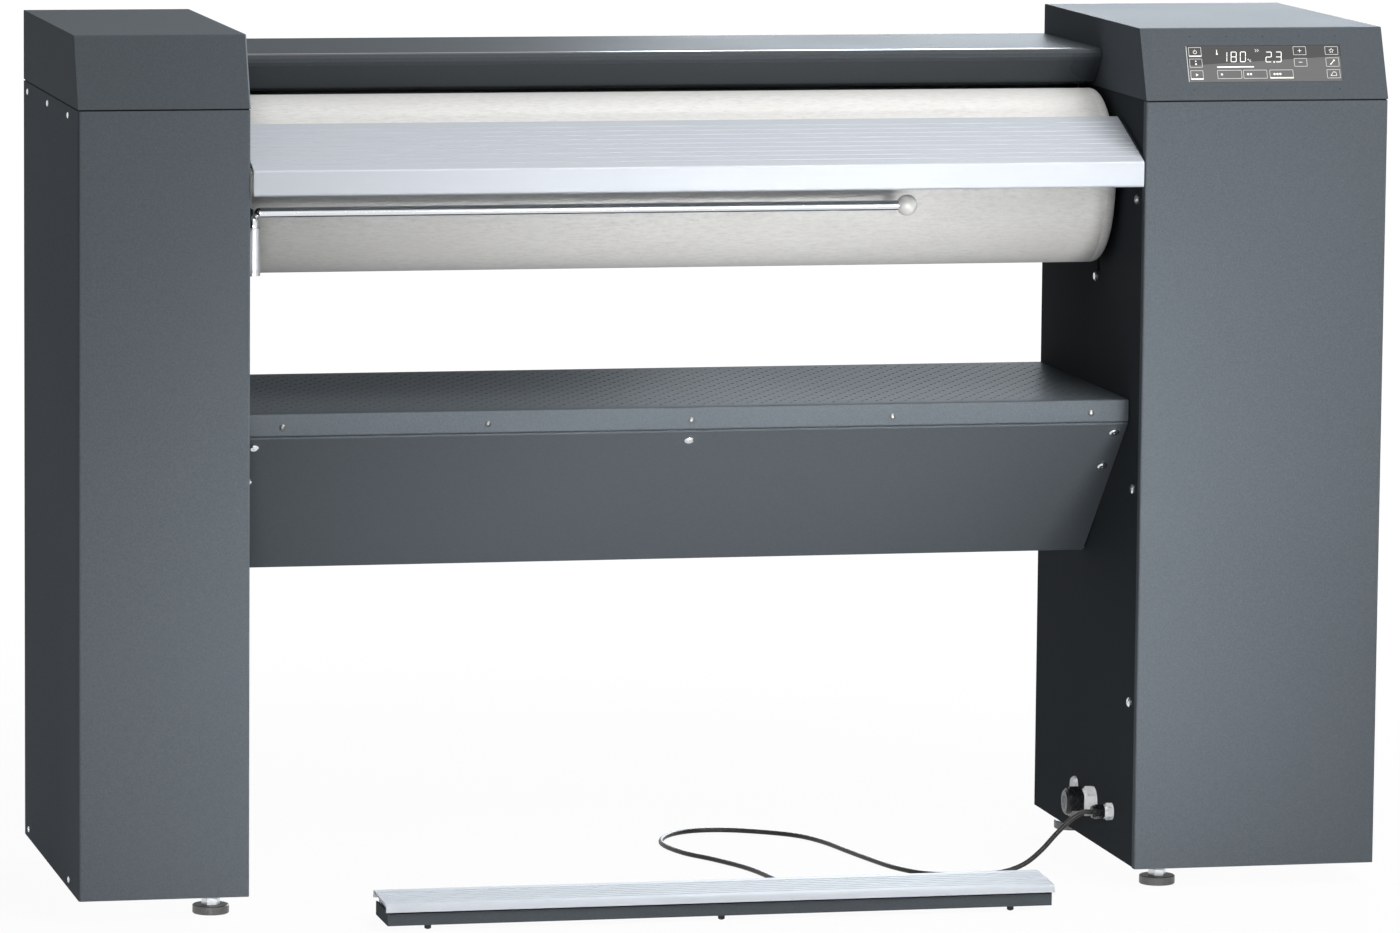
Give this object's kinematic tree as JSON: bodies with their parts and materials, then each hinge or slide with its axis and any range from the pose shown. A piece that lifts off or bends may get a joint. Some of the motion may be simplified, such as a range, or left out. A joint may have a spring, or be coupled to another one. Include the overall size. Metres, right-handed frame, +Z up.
{
  "type": "flatwork ironer",
  "caption": "Free-standing flatwork ironer with a padded roller, a curved heated plate that presses on it, a feed table, a linen shelf, a touch panel and a foot bar on a cable",
  "frame": {"origin": "middle of the footprint of the columns and the foot bar, on the floor", "axes": "+X to the right of someone who stands in front of the machine, along the roller; +Y to the back; +Z up"},
  "size_m": [1.5724, 0.5937, 1.03],
  "materials": {
    "column_paint": "fine-textured metallic grey paint, satin",
    "dark_paint": "smooth dark grey paint, semi-gloss",
    "zinc_plated": "zinc-plated steel, dull",
    "bare_steel": "turned and ground steel",
    "gear_steel": "machined steel, lightly oiled",
    "extruded_aluminium": "anodised extrusion, matte silver",
    "plate_aluminium": "polished ironing surface",
    "roller_fabric": "woven needle-felt cover, off-white",
    "springy_felt": "thick needle felt",
    "mineral_wool": "dense mineral wool",
    "bronze": "sintered bronze",
    "seal_rubber": "black foam rubber",
    "stud_rubber": "black rubber, matte",
    "belt_rubber": "black toothed belt",
    "cable_sheath": "dark grey cable sheath",
    "panel_glass": "back-printed touch glass, glossy grey",
    "board_green": "green circuit board",
    "white_ball": "white knob plastic, glossy",
    "gland_black": "black polyamide",
    "gland_grey": "grey polyamide",
    "switch_black": "black switch housing",
    "motor_paint": "blue-grey motor enamel",
    "screw_black": "blackened screws",
    "screw_bright": "bright zinc screws",
    "rod_chrome": "ground and chromed rod",
    "element_oxide": "oxidised heating element sheath"
  },
  "bodies": {
    "machine": {"left_side_frame": "dark_paint", "left_casing": "column_paint", "left_rear_cover": "column_paint", "left_cap": "column_paint", "left_base_plate": "zinc_plated", "right_side_frame": "dark_paint", "right_casing": "column_paint", "right_rear_cover": "column_paint", "right_cap": "column_paint", "right_base_plate": "zinc_plated", "cap_seals": "seal_rubber", "touch_panel": "panel_glass", "control_board": "board_green", "power_board": "zinc_plated", "roller_bearings": "bare_steel", "drive_motor": "motor_paint", "motor_brackets": "zinc_plated", "drive_belt": "belt_rubber", "press_motor": "motor_paint", "pivot_bushes": "bronze", "heater_cover": "dark_paint", "feed_table": "extruded_aluminium", "table_brackets": "dark_paint", "linen_shelf": "dark_paint", "slanted_panel": "dark_paint", "cross_rails": "zinc_plated", "dome_screws": "screw_black", "pan_screws": "screw_bright", "rod_socket": "zinc_plated", "gland_bodies": "gland_grey", "gland_caps": "gland_black", "gland_inserts": "gland_grey", "foot_lock_nuts": "zinc_plated", "bar_tray": "dark_paint", "bar_studs": "stud_rubber", "bar_switch": "switch_black", "bar_buffers": "stud_rubber", "cable_grommet": "stud_rubber", "bar_cable": "cable_sheath"},
    "roller": {"roller_tube": "bare_steel", "roller_padding": "springy_felt", "roller_cloth": "roller_fabric", "roller_journals": "bare_steel", "roller_pulley": "gear_steel"},
    "motor_shaft": {"motor_pulley": "gear_steel"},
    "pinion_shaft": {"press_pinion": "gear_steel"},
    "heater": {"heated_plate": "plate_aluminium", "heating_elements": "element_oxide", "heater_insulation": "mineral_wool", "heater_shell": "zinc_plated", "heater_end_plates": "bare_steel", "press_sector": "gear_steel"},
    "guard": {"finger_guard": "dark_paint"},
    "rod": {"swivel_rod": "rod_chrome", "rod_ball": "white_ball"},
    "front_left_foot": {"foot_front_left": "zinc_plated"},
    "rear_left_foot": {"foot_rear_left": "zinc_plated"},
    "front_right_foot": {"foot_front_right": "zinc_plated"},
    "rear_right_foot": {"foot_rear_right": "zinc_plated"},
    "foot_bar": {"bar_cover": "extruded_aluminium"}
  },
  "joints": [
    {"name": "roller_turn", "type": "hinge", "parent": "machine", "child": "roller", "pos_m": [0, 0.028, 0.841], "axis": [1, 0, 0], "continuous": true},
    {"name": "motor_turn", "type": "hinge", "parent": "machine", "child": "motor_shaft", "pos_m": [0.54, -0.029, 0.56], "axis": [1, 0, 0], "continuous": true},
    {"name": "heater_press", "type": "hinge", "parent": "machine", "child": "heater", "pos_m": [0, 0.166, 0.745], "axis": [1, 0, 0], "range_deg": [0, 8]},
    {"name": "pinion_turn", "type": "hinge", "parent": "machine", "child": "pinion_shaft", "pos_m": [0.503, 0.166, 0.62], "axis": [1, 0, 0], "range_deg": [-32, 0]},
    {"name": "guard_tilt", "type": "hinge", "parent": "machine", "child": "guard", "pos_m": [0, 0.038, 0.985], "axis": [1, 0, 0], "range_deg": [0, 10], "stiffness_Nm_per_rad": 3, "springref_deg": -8.59},
    {"name": "rod_swing", "type": "hinge", "parent": "machine", "child": "rod", "pos_m": [-0.573, -0.129, 0.79], "axis": [0, 0, 1], "range_deg": [-90, 0]},
    {"name": "front_left_level", "type": "slide", "parent": "machine", "child": "front_left_foot", "axis": [0, 0, -1], "range_m": [0, 0.015]},
    {"name": "rear_left_level", "type": "slide", "parent": "machine", "child": "rear_left_foot", "axis": [0, 0, -1], "range_m": [0, 0.015]},
    {"name": "front_right_level", "type": "slide", "parent": "machine", "child": "front_right_foot", "axis": [0, 0, -1], "range_m": [0, 0.015]},
    {"name": "rear_right_level", "type": "slide", "parent": "machine", "child": "rear_right_foot", "axis": [0, 0, -1], "range_m": [0, 0.015]},
    {"name": "bar_press", "type": "hinge", "parent": "machine", "child": "foot_bar", "pos_m": [-0.042, -0.2165, 0.018], "axis": [1, 0, 0], "range_deg": [0, 4], "stiffness_Nm_per_rad": 30, "springref_deg": -2.29, "deforming": ["bar_buffers"]}
  ],
  "couplings": [
    {"joint": "motor_turn", "follows": "roller_turn", "ratio": 3},
    {"joint": "pinion_turn", "follows": "heater_press", "ratio": -4}
  ]
}
